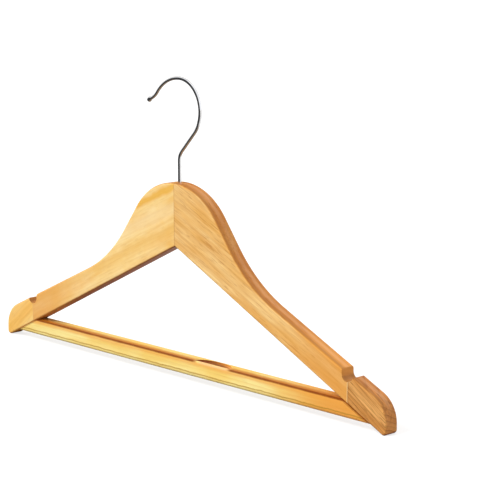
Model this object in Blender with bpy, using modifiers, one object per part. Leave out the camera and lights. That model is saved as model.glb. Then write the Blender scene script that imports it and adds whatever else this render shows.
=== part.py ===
"""Wooden suit hanger: two mitred arms with glued tips, a trouser bar and a swivelling wire hook.

Metres, +Z up. The origin is the point inside the hook's crown that sits on the rail, on the hook's
swivel axis. +X runs along the shoulders, and the front face looks towards -Y.
"""
import math

import bmesh
import bpy
from mathutils import Matrix, Vector

# Body
overall_width = 0.445
body_thickness = 0.0125
head_radius = 0.0573
neck_angle = math.radians(52.8)
neck_run = 0.0265
neck_fillet_radius = 0.1255
shoulder_angle = math.radians(24.5)
head_height = 0.0496
underside_angle = math.radians(25.75)
tip_radius = 0.022
tip_corner_radius = 0.003
edge_round = 0.0015

# Strap notches
notch_inset = 0.0373
notch_width = 0.0112
notch_depth = 0.0065

# Trouser bar
bar_height = 0.0136
bar_rise = 0.0069
bar_top_round = 0.0018
bar_bottom_round = 0.0030
scoop_length = 0.038
scoop_width = 0.0078
scoop_depth = 0.0035
scoop_offset = 0.041
scoop_lip = 0.0021

# Hook
wire_diameter = 0.0028
hook_height = 0.0817
loop_radius = 0.0241
crown_radius = 0.0325
crown_sweep = math.radians(50)
slant_angle = math.radians(46)
shank_bend_radius = 0.012
flick_radius = 0.016
flick_sweep = math.radians(25)
flick_lead = 0.0015
flick_tail = 0.0030
ball_diameter = 0.0044
ball_grip = 0.0016

# Hook fastening
nut_across_flats = 0.0055
nut_height = 0.0024
washer_diameter = 0.0070
washer_thickness = 0.0008
counterbore_depth = 0.011
shank_tail = 0.0016

# Dowels
mitre_dowel_diameter = 0.007
mitre_dowel_length = 0.026
upper_dowel_drop = 0.0135
lower_dowel_rise = 0.0100
side_dowel_diameter = 0.005
tip_dowel_length = 0.024
bar_dowel_length = 0.030

# Clearances
fit_gap = 0.0003
seam_gap = 0.0003
glue_gap = 0.0003

# Cutters reach this far past what they cut, and the halves this far past the seam
cutter_margin = 0.010
seam_overlap = 0.006
flat_tolerance = math.radians(0.5)
corner_least_angle = math.radians(60)
smooth_limit = math.radians(30)
weld_distance = 0.00001

# A fillet takes at most this share of the shorter edge at its corner
fillet_share = 0.9

# Flat steps on each round shape
head_steps = 14
neck_steps = 10
tip_steps = 9
corner_steps = 6
notch_steps = 14
edge_steps = 3
bar_corner_steps = 4
loop_steps = 20
crown_steps = 10
shank_bend_steps = 5
flick_steps = 4
rod_sides = 24
socket_sides = 20
washer_sides = 28
counterbore_sides = 32

# Places that follow from the sizes above
half_width = overall_width / 2
half_depth = body_thickness / 2
head_top = wire_diameter - hook_height
apex_z = head_top - head_height
notch_x = half_width - notch_inset
glue_x = notch_x
tip_corner_z = apex_z - half_width * math.tan(underside_angle)
bar_bottom = tip_corner_z + bar_rise
bar_top = bar_bottom + bar_height
counterbore_radius = washer_diameter / 2 + 2 * fit_gap
counterbore_top = apex_z + counterbore_depth
bore_radius = wire_diameter / 2 + fit_gap
washer_top = counterbore_top - fit_gap
nut_top = washer_top - washer_thickness - fit_gap
shank_bottom = nut_top - nut_height - shank_tail

upright = Matrix.Rotation(math.radians(90), 4, "X")

wood_honey = (0.83, 0.52, 0.19)
wood_tip = (0.60, 0.30, 0.08)
wood_bar = (0.92, 0.64, 0.24)
wood_dowel = (0.74, 0.56, 0.33)
chrome = (0.78, 0.78, 0.79)
steel = (0.55, 0.55, 0.56)


def underside_z(x):
    """Height of the arms' straight lower edge at x."""
    return apex_z - abs(x) * math.tan(underside_angle)


def shoulder_line():
    """A point on the straight shoulder and its slope, reached from the head through the neck."""
    neck_start = Vector((head_radius * math.sin(neck_angle),
                         head_top - head_radius * (1 - math.cos(neck_angle))))
    along_neck = Vector((math.cos(neck_angle), -math.sin(neck_angle)))
    along_shoulder = Vector((math.cos(shoulder_angle), -math.sin(shoulder_angle)))
    reach = neck_fillet_radius * math.tan((neck_angle - shoulder_angle) / 2)
    fillet_start = neck_start + along_neck * neck_run
    corner = fillet_start + along_neck * reach
    return fillet_start, corner + along_shoulder * reach, corner


def shoulder_z(x):
    """Height of the straight shoulder line at x."""
    corner = shoulder_line()[2]
    return corner.y - (x - corner.x) * math.tan(shoulder_angle)


def arc(centre, radius, start, end, steps):
    """Points of an arc from angle start to angle end, both ends included."""
    turn = (end - start) / steps
    return [centre + radius * Vector((math.cos(start + turn * i), math.sin(start + turn * i)))
            for i in range(steps + 1)]


def corner_arc(before, corner, after, radius, steps):
    """Points of the fillet that rounds a corner between two straight edges."""
    to_before = (before - corner).normalized()
    to_after = (after - corner).normalized()
    half_angle = to_before.angle(to_after) / 2
    shorter_edge = min((before - corner).length, (after - corner).length)
    radius = min(radius, fillet_share * shorter_edge * math.tan(half_angle))
    centre = corner + (to_before + to_after).normalized() * (radius / math.sin(half_angle))
    reach = radius / math.tan(half_angle)
    first = corner + to_before * reach - centre
    last = corner + to_after * reach - centre
    sweep = first.angle_signed(last)
    start = math.atan2(first.y, first.x)
    return arc(centre, radius, start, start - sweep, steps)


def half_outline(overlap):
    """Outline of the right half in X and Z, clockwise from the seam, reaching overlap past it."""
    fillet_start, fillet_end, _ = shoulder_line()
    head_centre = Vector((0, head_top - head_radius))
    quarter = math.pi / 2
    points = arc(head_centre, head_radius, quarter + overlap / head_radius,
                 quarter - neck_angle, head_steps)
    neck_centre = fillet_start + neck_fillet_radius * Vector((math.sin(neck_angle),
                                                              math.cos(neck_angle)))
    points += arc(neck_centre, neck_fillet_radius, -quarter - neck_angle,
                  -quarter - shoulder_angle, neck_steps)
    tip_start_x = half_width - tip_radius * (1 - math.sin(shoulder_angle))
    tip_centre = Vector((half_width - tip_radius,
                         shoulder_z(tip_start_x) - tip_radius * math.cos(shoulder_angle)))
    points += arc(tip_centre, tip_radius, quarter - shoulder_angle, 0, tip_steps)
    corner = Vector((half_width, tip_corner_z))
    points += corner_arc(points[-1], corner, Vector((0, apex_z)), tip_corner_radius, corner_steps)
    points.append(Vector((-overlap, apex_z + overlap * math.tan(underside_angle))))
    return points


def notch_outline(side):
    """The round-bottomed strap notch, reaching up past the shoulder."""
    radius = notch_width / 2
    centre = Vector((side * notch_x, shoulder_z(notch_x) - notch_depth + radius))
    rim = shoulder_z(notch_x - radius) + cutter_margin
    left_rim = Vector((centre.x - radius, rim))
    right_rim = Vector((centre.x + radius, rim))
    return [left_rim] + arc(centre, radius, -math.pi, 0, notch_steps) + [right_rim]


def material(name, colour, roughness, metallic):
    made = bpy.data.materials.new(name)
    made.use_nodes = True
    shader = made.node_tree.nodes["Principled BSDF"]
    shader.inputs["Base Color"].default_value = (*colour, 1.0)
    shader.inputs["Roughness"].default_value = roughness
    shader.inputs["Metallic"].default_value = metallic
    return made


def put(obj, collection):
    for other in list(obj.users_collection):
        other.objects.unlink(obj)
    collection.objects.link(obj)
    return obj


def mesh_object(name, mesh_data, collection):
    obj = bpy.data.objects.new(name, mesh_data)
    collection.objects.link(obj)
    return obj


def as_mesh(curve_object, collection):
    """Replaces a curve object by a mesh object with welded caps and undivided flat faces."""
    bpy.context.view_layer.update()
    graph = bpy.context.evaluated_depsgraph_get()
    mesh_data = bpy.data.meshes.new_from_object(curve_object.evaluated_get(graph))
    name = curve_object.name
    place = curve_object.matrix_world.copy()
    bpy.data.objects.remove(curve_object)
    welded = bmesh.new()
    welded.from_mesh(mesh_data)
    bmesh.ops.remove_doubles(welded, verts=welded.verts, dist=weld_distance)
    bmesh.ops.dissolve_limit(welded, angle_limit=flat_tolerance, verts=welded.verts,
                             edges=welded.edges)
    bmesh.ops.recalc_face_normals(welded, faces=welded.faces)
    welded.to_mesh(mesh_data)
    welded.free()
    mesh_data.name = name
    obj = mesh_object(name, mesh_data, collection)
    obj.matrix_world = place
    return obj


def flat_plate(name, points, thickness, place, collection):
    """A flat outline given thickness, with its own plane placed by a matrix."""
    curve = bpy.data.curves.new(name, "CURVE")
    curve.dimensions = "2D"
    curve.fill_mode = "BOTH"
    curve.extrude = thickness / 2
    spline = curve.splines.new("POLY")
    spline.points.add(len(points) - 1)
    for spot, point in zip(spline.points, points):
        spot.co = (point.x, point.y, 0, 1)
    spline.use_cyclic_u = True
    obj = bpy.data.objects.new(name, curve)
    collection.objects.link(obj)
    obj.matrix_world = place
    return as_mesh(obj, collection)


def block(name, low, high, collection, turn=0.0, pivot=(0, 0, 0)):
    """A box between two corners, turned about the Y direction at a pivot."""
    bpy.ops.mesh.primitive_cube_add(size=1)
    obj = put(bpy.context.active_object, collection)
    obj.name = name
    size = Vector(high) - Vector(low)
    middle = (Vector(high) + Vector(low)) / 2
    about = Vector(pivot)
    swing = Matrix.Translation(about) @ Matrix.Rotation(turn, 4, "Y") @ Matrix.Translation(-about)
    obj.data.transform(swing @ Matrix.Translation(middle) @ Matrix.Diagonal((*size, 1)))
    return obj


def rod(name, radius, start, end, collection, sides=rod_sides):
    """A round bar between two points."""
    axis = Vector(end) - Vector(start)
    bpy.ops.mesh.primitive_cylinder_add(vertices=sides, radius=radius, depth=axis.length)
    obj = put(bpy.context.active_object, collection)
    obj.name = name
    obj.location = (Vector(start) + Vector(end)) / 2
    obj.rotation_mode = "QUATERNION"
    obj.rotation_quaternion = axis.to_track_quat("Z", "Y")
    return obj


def hide_cutter(obj):
    obj.hide_render = True
    obj.display_type = "WIRE"
    return obj


def cut(obj, *cutters):
    for cutter in cutters:
        hide_cutter(cutter)
        modifier = obj.modifiers.new("Cut " + cutter.name, "BOOLEAN")
        modifier.operation = "DIFFERENCE"
        modifier.solver = "EXACT"
        modifier.object = cutter


def finish(obj, look):
    obj.data.materials.clear()
    obj.data.materials.append(look)
    obj.data.shade_smooth()
    obj.data.set_sharp_from_angle(angle=smooth_limit)
    return obj


def frame_half(name, side, collection):
    """One half of the wooden frame before it is parted at the mitre and the glue line."""
    outline = [Vector((side * point.x, point.y)) for point in half_outline(seam_overlap)]
    half = flat_plate(name, outline, body_thickness, upright, collection)
    modifier = half.modifiers.new("Rounded edges", "BEVEL")
    modifier.width = edge_round
    modifier.segments = edge_steps
    modifier.limit_method = "ANGLE"
    modifier.angle_limit = corner_least_angle
    modifier.use_clamp_overlap = False
    return half


def beyond(name, x, side, outward, collection):
    """A cutter that takes all of the frame outward of x, or all of it inward of x."""
    far = half_width + cutter_margin
    start, end = (x, far) if outward else (-far, x)
    low_x, high_x = sorted((side * start, side * end))
    low_z = tip_corner_z - cutter_margin
    return block(name, (low_x, -half_depth - cutter_margin, low_z),
                 (high_x, half_depth + cutter_margin, head_top + cutter_margin), collection)


def across(name, diameter, middle_x, length, z, collection):
    """A round bar along X."""
    return rod(name, diameter / 2, (middle_x - length / 2, 0, z),
               (middle_x + length / 2, 0, z), collection)


def tip_dowel_z():
    notch_floor = shoulder_z(notch_x) - notch_depth
    return (notch_floor + underside_z(glue_x - tip_dowel_length / 2)) / 2


def bar_dowel_x():
    bar_middle = (bar_top + bar_bottom) / 2
    return (apex_z - bar_middle) / math.tan(underside_angle)


def make_hook_holes(collection):
    """The vertical bore for the hook's shank and the counterbore for its nut."""
    low = (0, 0, apex_z - cutter_margin)
    bore = rod("hook_bore_cutter", bore_radius, low, (0, 0, head_top + cutter_margin), collection)
    counterbore = rod("counterbore_cutter", counterbore_radius, low, (0, 0, counterbore_top),
                      collection, sides=counterbore_sides)
    return bore, counterbore


def make_mitre_dowels(looks, bore, parts, cutters):
    """Two dowels across the mitre, drilled through by the hook's bore. Returns their holes."""
    holes = []
    for name, z in (("upper_mitre_dowel", head_top - upper_dowel_drop),
                    ("lower_mitre_dowel", counterbore_top + lower_dowel_rise)):
        dowel = across(name, mitre_dowel_diameter, 0, mitre_dowel_length, z, parts)
        cut(dowel, bore)
        finish(dowel, looks["dowel"])
        holes.append(across(name + "_hole", mitre_dowel_diameter + 2 * fit_gap, 0,
                            mitre_dowel_length + 2 * fit_gap, z, cutters))
    return holes


def make_frame_side(side_name, side, looks, shared_holes, parts, cutters):
    """An arm, its tip and the two dowels of that side."""
    tip_z = tip_dowel_z()
    tip_dowel = across(side_name + "_tip_dowel", side_dowel_diameter, side * glue_x,
                       tip_dowel_length, tip_z, parts)
    tip_hole = across(side_name + "_tip_dowel_hole", side_dowel_diameter + 2 * fit_gap,
                      side * glue_x, tip_dowel_length + 2 * fit_gap, tip_z, cutters)
    bar_z = (bar_top + bar_bottom) / 2
    bar_x = bar_dowel_x()
    bar_dowel = across(side_name + "_bar_dowel", side_dowel_diameter, side * bar_x,
                       bar_dowel_length, bar_z, parts)
    bar_hole = across(side_name + "_bar_dowel_hole", side_dowel_diameter + 2 * fit_gap,
                      side * bar_x, bar_dowel_length + 2 * fit_gap, bar_z, cutters)
    finish(tip_dowel, looks["dowel"])
    finish(bar_dowel, looks["dowel"])

    notch = flat_plate(side_name + "_notch_cutter", notch_outline(side),
                       body_thickness + cutter_margin, upright, cutters)
    arm = frame_half(side_name + "_arm", side, parts)
    seam = beyond(side_name + "_mitre_cutter", seam_gap / 2, side, False, cutters)
    outer = beyond(side_name + "_arm_end_cutter", glue_x - glue_gap / 2, side, True, cutters)
    cut(arm, seam, outer, notch, *shared_holes, tip_hole, bar_hole)
    finish(arm, looks["arm"])

    tip = frame_half(side_name + "_tip", side, parts)
    inner = beyond(side_name + "_tip_end_cutter", glue_x + glue_gap / 2, side, False, cutters)
    cut(tip, inner, notch, tip_hole, bar_hole)
    finish(tip, looks["tip"])
    return bar_hole


def bar_section():
    """The bar's section in Y and Z about its middle, small rounds above and larger ones below."""
    half_height = bar_height / 2
    points = []
    quarter = math.pi / 2
    for sign_y, sign_z, start in ((1, 1, 0), (-1, 1, 1), (-1, -1, 2), (1, -1, 3)):
        radius = bar_top_round if sign_z > 0 else bar_bottom_round
        centre = Vector((sign_y * (half_depth - radius), sign_z * (half_height - radius)))
        points += arc(centre, radius, start * quarter, (start + 1) * quarter, bar_corner_steps)
    return points


def make_trouser_bar(looks, dowel_holes, parts, cutters):
    """The bar, cut at both ends along the arms' lower edges, with the scoop in its top."""
    length = 2 * half_width
    along_x = Matrix(((0, 0, 1, 0), (1, 0, 0, 0), (0, 1, 0, (bar_top + bar_bottom) / 2),
                      (0, 0, 0, 1)))
    bar = flat_plate("trouser_bar", bar_section(), length, along_x, parts)
    drop = glue_gap / math.cos(underside_angle)
    pivot = (0, 0, apex_z - drop)
    reach = half_width / math.cos(underside_angle) + cutter_margin
    for side_name, side in (("left", -1), ("right", 1)):
        low_x, high_x = sorted((0.0, side * reach))
        ends = block(side_name + "_bar_end_cutter",
                     (low_x, -half_depth - cutter_margin, pivot[2]),
                     (high_x, half_depth + cutter_margin, pivot[2] + head_height), cutters,
                     turn=side * underside_angle, pivot=pivot)
        cut(bar, ends)
    cut(bar, *dowel_holes)
    cut(bar, make_scoop(cutters))
    return finish(bar, looks["bar"])


def make_scoop(cutters):
    """The half-moon scoop: half an ellipsoid behind a straight lip."""
    shape = bmesh.new()
    bmesh.ops.create_uvsphere(shape, u_segments=32, v_segments=16, radius=1.0)
    bmesh.ops.scale(shape, vec=(scoop_length / 2, scoop_width, scoop_depth), verts=shape.verts)
    split = bmesh.ops.bisect_plane(shape, geom=shape.verts[:] + shape.edges[:] + shape.faces[:],
                                   plane_co=(0, 0, 0), plane_no=(0, 1, 0), clear_inner=True)
    rim = [item for item in split["geom_cut"] if isinstance(item, bmesh.types.BMEdge)]
    bmesh.ops.contextual_create(shape, geom=rim)
    bmesh.ops.recalc_face_normals(shape, faces=shape.faces)
    mesh_data = bpy.data.meshes.new("scoop_cutter")
    shape.to_mesh(mesh_data)
    shape.free()
    scoop = mesh_object("scoop_cutter", mesh_data, cutters)
    scoop.location = (scoop_offset, scoop_lip - half_depth, bar_top)
    return scoop


class WirePath:
    """Walks a wire in the XZ plane, one straight run or bend at a time."""

    def __init__(self, start, heading):
        self.points = [Vector(start)]
        self.heading = heading

    def run(self, length):
        step = Vector((math.cos(self.heading), math.sin(self.heading))) * length
        self.points.append(self.points[-1] + step)

    def bend(self, radius, turn, steps):
        side = math.copysign(1, turn)
        to_centre = Vector((-math.sin(self.heading), math.cos(self.heading))) * radius * side
        centre = self.points[-1] + to_centre
        start = math.atan2(-to_centre.y, -to_centre.x)
        self.points += arc(centre, radius, start, start + turn, steps)[1:]
        self.heading += turn


def hook_path():
    """The hook's centre line, from the shank's lower end to the wire's end in the ball."""
    quarter = math.pi / 2
    lean = quarter - slant_angle
    loop_z = wire_diameter / 2 - loop_radius
    joins_x = loop_radius * math.cos(lean)
    joins_z = loop_z - loop_radius * math.sin(lean)
    slant_length = (joins_x - shank_bend_radius * (1 - math.cos(lean))) / math.cos(slant_angle)
    shank_top = joins_z - slant_length * math.sin(slant_angle) - shank_bend_radius * math.sin(lean)
    path = WirePath((0, shank_bottom), quarter)
    path.run(shank_top - shank_bottom)
    path.bend(shank_bend_radius, -lean, shank_bend_steps)
    path.run(slant_length)
    path.bend(loop_radius, math.pi - slant_angle, loop_steps)
    path.bend(crown_radius, crown_sweep, crown_steps)
    path.run(flick_lead)
    path.bend(flick_radius, -flick_sweep, flick_steps)
    path.run(flick_tail)
    return path


def make_hook(looks, parts, cutters):
    """The bent wire and the ball on its end."""
    path = hook_path()
    curve = bpy.data.curves.new("hook_wire", "CURVE")
    curve.dimensions = "3D"
    curve.bevel_depth = wire_diameter / 2
    curve.bevel_resolution = 4
    curve.use_fill_caps = True
    spline = curve.splines.new("POLY")
    spline.points.add(len(path.points) - 1)
    for spot, point in zip(spline.points, path.points):
        spot.co = (point.x, 0, point.y, 1)
    wire = bpy.data.objects.new("hook_wire", curve)
    parts.objects.link(wire)
    finish(as_mesh(wire, parts), looks["chrome"])

    end = path.points[-1]
    outward = Vector((math.cos(path.heading), math.sin(path.heading)))
    middle = end + outward * (ball_diameter / 2 - ball_grip)
    bpy.ops.mesh.primitive_uv_sphere_add(segments=20, ring_count=12, radius=ball_diameter / 2)
    ball = put(bpy.context.active_object, parts)
    ball.name = "hook_tip_ball"
    ball.location = (middle.x, 0, middle.y)
    socket_end = end + outward * fit_gap
    mouth = end - outward * ball_diameter
    socket = rod("ball_socket_cutter", wire_diameter / 2 + fit_gap, (mouth.x, 0, mouth.y),
                 (socket_end.x, 0, socket_end.y), cutters, sides=socket_sides)
    cut(ball, socket)
    finish(ball, looks["chrome"])


def make_fastening(looks, bore, parts):
    """The washer that bears on the wood and the nut on the shank's end."""
    washer = rod("hook_washer", washer_diameter / 2, (0, 0, washer_top - washer_thickness),
                 (0, 0, washer_top), parts, sides=washer_sides)
    cut(washer, bore)
    finish(washer, looks["steel"])
    nut = rod("hook_nut", nut_across_flats / math.sqrt(3), (0, 0, nut_top - nut_height),
              (0, 0, nut_top), parts, sides=6)
    cut(nut, bore)
    finish(nut, looks["steel"])


def main():
    for obj in list(bpy.data.objects):
        bpy.data.objects.remove(obj)
    parts = bpy.data.collections.new("suit_hanger")
    cutters = bpy.data.collections.new("cutters")
    bpy.context.scene.collection.children.link(parts)
    bpy.context.scene.collection.children.link(cutters)
    looks = {
        "arm": material("Honey wood", wood_honey, 0.42, 0.0),
        "tip": material("Tip wood", wood_tip, 0.42, 0.0),
        "bar": material("Bar wood", wood_bar, 0.42, 0.0),
        "dowel": material("Dowel wood", wood_dowel, 0.6, 0.0),
        "chrome": material("Chrome wire", chrome, 0.12, 1.0),
        "steel": material("Zinc steel", steel, 0.35, 1.0),
    }
    bore, counterbore = make_hook_holes(cutters)
    mitre_holes = make_mitre_dowels(looks, bore, parts, cutters)
    shared_holes = [bore, counterbore] + mitre_holes
    bar_holes = []
    for side_name, side in (("left", -1), ("right", 1)):
        bar_holes.append(make_frame_side(side_name, side, looks, shared_holes, parts, cutters))
    make_trouser_bar(looks, bar_holes, parts, cutters)
    make_hook(looks, parts, cutters)
    make_fastening(looks, bore, parts)


main()
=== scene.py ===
import math

import bmesh
import bpy
from mathutils import Matrix, Vector


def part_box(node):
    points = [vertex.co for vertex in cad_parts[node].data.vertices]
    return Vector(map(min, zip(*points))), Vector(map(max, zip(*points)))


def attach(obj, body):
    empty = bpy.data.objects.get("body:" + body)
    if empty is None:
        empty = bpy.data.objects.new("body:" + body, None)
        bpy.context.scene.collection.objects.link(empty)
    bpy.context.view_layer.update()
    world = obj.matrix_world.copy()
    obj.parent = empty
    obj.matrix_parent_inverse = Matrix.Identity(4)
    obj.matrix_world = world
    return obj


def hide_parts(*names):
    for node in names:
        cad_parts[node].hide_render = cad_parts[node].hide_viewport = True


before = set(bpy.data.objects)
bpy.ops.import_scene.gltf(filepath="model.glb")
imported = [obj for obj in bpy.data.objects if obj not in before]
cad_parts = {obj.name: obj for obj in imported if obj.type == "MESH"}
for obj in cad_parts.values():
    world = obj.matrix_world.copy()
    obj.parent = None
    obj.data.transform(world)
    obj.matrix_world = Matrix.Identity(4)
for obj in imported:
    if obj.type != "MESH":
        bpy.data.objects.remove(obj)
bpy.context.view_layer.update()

woodBody = "wooden_body"
hookBody = "hook_assembly"
quarterTurn = math.pi / 2


# Mesh helpers

def newObject(name, data):
    made = bpy.data.objects.new(name, data)
    bpy.context.scene.collection.objects.link(made)
    return made


def discard(*objects):
    for obj in objects:
        bpy.data.objects.remove(obj)


def bakeObject(obj, name):  # an evaluated object as a plain mesh at the origin
    bpy.context.view_layer.update()
    graph = bpy.context.evaluated_depsgraph_get()
    mesh = bpy.data.meshes.new_from_object(obj.evaluated_get(graph))
    mesh.transform(obj.matrix_world)
    discard(obj)
    mesh.name = name
    return newObject(name, mesh)


def meshFrom(name, shape, merge=0.000005):
    bmesh.ops.remove_doubles(shape, verts=shape.verts, dist=merge)
    bmesh.ops.recalc_face_normals(shape, faces=shape.faces)
    mesh = bpy.data.meshes.new(name)
    shape.to_mesh(mesh)
    shape.free()
    return newObject(name, mesh)


def smoothen(obj, sharpAngle=32):
    obj.data.shade_smooth()
    obj.data.set_sharp_from_angle(angle=math.radians(sharpAngle))
    flat = obj.modifiers.new("Even flat faces", "WEIGHTED_NORMAL")
    flat.keep_sharp = True
    return obj


def dress(obj, material, body, slot, *nodes):
    obj.data.materials.clear()
    obj.data.materials.append(material)
    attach(obj, body)
    if nodes:
        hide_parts(*nodes)


def arcPoints(centre, radius, start, end, stepDegrees=1.5):
    steps = max(2, math.ceil(abs(end - start) / math.radians(stepDegrees)))
    turns = [start + (end - start) * i / steps for i in range(steps + 1)]
    return [centre + radius * Vector((math.cos(turn), math.sin(turn))) for turn in turns]


def box(name, low, high):
    shape = bmesh.new()
    bmesh.ops.create_cube(shape, size=1)
    size = Vector(high) - Vector(low)
    middle = (Vector(high) + Vector(low)) / 2
    shape.transform(Matrix.Translation(middle) @ Matrix.Diagonal((*size, 1)))
    return meshFrom(name, shape)


def post(name, radius, low, high, sides=64):  # an upright round bar on the swivel axis
    shape = bmesh.new()
    bmesh.ops.create_cone(shape, cap_ends=True, segments=sides, radius1=radius, radius2=radius,
                          depth=high - low)
    shape.transform(Matrix.Translation((0, 0, (low + high) / 2)))
    return meshFrom(name, shape)


def plate(name, outline, front, back):  # an outline in X and Z, given thickness along Y
    shape = bmesh.new()
    face = shape.faces.new([shape.verts.new((point.x, front, point.y)) for point in outline])
    grown = bmesh.ops.extrude_face_region(shape, geom=[face])["geom"]
    far = [item for item in grown if isinstance(item, bmesh.types.BMVert)]
    bmesh.ops.translate(shape, vec=(0, back - front, 0), verts=far)
    return meshFrom(name, shape)


def turned(name, profile, sides=64):  # a closed profile of (radius, height), turned about Z
    shape = bmesh.new()
    ring = [shape.verts.new((radius, 0, height)) for radius, height in profile]
    edges = [shape.edges.new((ring[i], ring[(i + 1) % len(ring)])) for i in range(len(ring))]
    bmesh.ops.spin(shape, geom=ring + edges, cent=(0, 0, 0), axis=(0, 0, 1), dvec=(0, 0, 0),
                   angle=2 * math.pi, steps=sides, use_merge=True)
    return meshFrom(name, shape)


def combine(obj, cutters, operation="DIFFERENCE"):
    for cutter in cutters:
        step = obj.modifiers.new("With " + cutter.name, "BOOLEAN")
        step.operation = operation
        step.solver = "EXACT"
        step.object = cutter


def roundEdges(obj, label, width, segments, fromAngle, clamped=True):
    rounds = obj.modifiers.new(label, "BEVEL")
    rounds.width = width
    rounds.segments = segments
    rounds.limit_method = "ANGLE"
    rounds.angle_limit = math.radians(fromAngle)
    rounds.use_clamp_overlap = clamped


# Node helpers

def addNode(tree, kind, inputs=None, **settings):
    made = tree.nodes.new(kind)
    for key, value in settings.items():
        setattr(made, key, value)
    for key, value in (inputs or {}).items():
        if isinstance(value, bpy.types.NodeSocket):
            tree.links.new(value, made.inputs[key])
        else:
            made.inputs[key].default_value = value
    return made


def mathOf(tree, operation, a, b=0.0):
    return addNode(tree, "ShaderNodeMath", {0: a, 1: b}, operation=operation).outputs[0]


def times(tree, a, b):
    return mathOf(tree, "MULTIPLY", a, b)


def axesOf(tree, vector):
    return addNode(tree, "ShaderNodeSeparateXYZ", {0: vector}).outputs


def fromGroup(tree, group, inputs):
    return addNode(tree, "ShaderNodeGroup", inputs, node_tree=group).outputs


def vectorOf(tree, operation, a, b=(0.0, 0.0, 0.0)):
    made = addNode(tree, "ShaderNodeVectorMath", {0: a, 1: b}, operation=operation)
    return made.outputs[1 if operation in ("LENGTH", "DOT_PRODUCT") else 0]


def scaled(tree, vector, factors):
    return vectorOf(tree, "MULTIPLY", vector, factors)


def noise(tree, vector, scale=1.0, detail=2.0, roughness=0.5):
    return addNode(tree, "ShaderNodeTexNoise", {"Vector": vector, "Scale": scale, "Detail": detail,
                                                "Roughness": roughness}).outputs[0]


def ranged(tree, value, low, high, outLow=0.0, outHigh=1.0):
    return addNode(tree, "ShaderNodeMapRange", {0: value, 1: low, 2: high, 3: outLow, 4: outHigh}).outputs[0]


def mixColour(tree, factor, a, b, blend="MIX"):
    return addNode(tree, "ShaderNodeMix", {0: factor, 6: a, 7: b}, data_type="RGBA",
                   blend_type=blend).outputs[2]


def newTree(name, inputs, outputs, kind="ShaderNodeTree", gives="Float"):
    tree = bpy.data.node_groups.new(name, kind)
    for label, takes in inputs.items():
        tree.interface.new_socket(label, in_out="INPUT", socket_type="NodeSocket" + takes)
    for label in outputs:
        tree.interface.new_socket(label, in_out="OUTPUT", socket_type="NodeSocket" + gives)
    return tree, tree.nodes.new("NodeGroupInput").outputs, tree.nodes.new("NodeGroupOutput").inputs


def connect(tree, sockets, values):
    for label, value in values.items():
        tree.links.new(value, sockets[label])
    return tree


figureSizes = {  # marks per metre along the grain and across it, and where they start to show
    "wander": (0.10, 1.0, 1.0), "wanderScale": 30.0, "fibres": (26.0, 620.0, 620.0),
    "ticks": (80.0, 1050.0, 1050.0), "clouds": (16.0, 80.0, 80.0), "streaks": (7.0, 170.0, 170.0),
    "streakEdge": (0.5, 0.68), "poreEdge": 0.08, "poreDepth": 0.9, "lateRise": 3.0, "faintRing": 0.25,
}


def buildWoodFigure():
    sizes = figureSizes
    tree, given, result = newTree("woodFigure", {
        "Vector": "Vector", "Ring Spacing": "Float", "Ring Wander": "Float", "Pore Limit": "Float"},
        ["Rings", "Bands", "Fibre", "Pores", "Clouds", "Streaks", "Height"])
    place = given["Vector"]
    slow = noise(tree, scaled(tree, place, sizes["wander"]), sizes["wanderScale"], detail=3.0, roughness=0.55)
    wander = times(tree, mathOf(tree, "SUBTRACT", slow, 0.5), given["Ring Wander"])
    radius = vectorOf(tree, "LENGTH", scaled(tree, place, (0.0, 1.0, 1.0)))
    phase = mathOf(tree, "DIVIDE", mathOf(tree, "ADD", radius, wander), given["Ring Spacing"])
    late = mathOf(tree, "POWER", mathOf(tree, "FRACT", phase), sizes["lateRise"])
    bands = addNode(tree, "ShaderNodeTexWhiteNoise", {1: mathOf(tree, "FLOOR", phase)},
                    noise_dimensions="1D").outputs[0]
    fibre = noise(tree, scaled(tree, place, sizes["fibres"]), detail=4.0, roughness=0.6)
    ticks = noise(tree, scaled(tree, place, sizes["ticks"]), detail=1.0)
    pores = ranged(tree, ticks, given["Pore Limit"],
                   mathOf(tree, "ADD", given["Pore Limit"], sizes["poreEdge"]))
    return connect(tree, result, {
        "Rings": times(tree, late, ranged(tree, bands, 0.0, 1.0, sizes["faintRing"], 1.0)),
        "Bands": bands, "Fibre": fibre, "Pores": pores,
        "Clouds": noise(tree, scaled(tree, place, sizes["clouds"]), detail=3.0),
        "Streaks": ranged(tree, noise(tree, scaled(tree, place, sizes["streaks"])), *sizes["streakEdge"]),
        "Height": mathOf(tree, "SUBTRACT", fibre, times(tree, pores, sizes["poreDepth"]))})


faceEdges = {"Front": (0.6, 0.95), "Sides": (0.95, 0.35), "Over": (0.3, 0.75), "Under": (-0.3, -0.75)}


def buildFaces():  # where the surface turns away from the flat front and back, up or down
    tree, given, result = newTree("faces", {"Normal": "Vector"}, faceEdges)
    parts = axesOf(tree, given["Normal"])
    across = mathOf(tree, "ABSOLUTE", parts[1])
    turns = {"Front": across, "Sides": across, "Over": parts[2], "Under": parts[2]}
    return connect(tree, result, {label: ranged(tree, turns[label], *edges)
                                  for label, edges in faceEdges.items()})


stripeSizes = {"driftScale": 90.0, "fullWithin": 0.25, "fade": 0.15}


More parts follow.
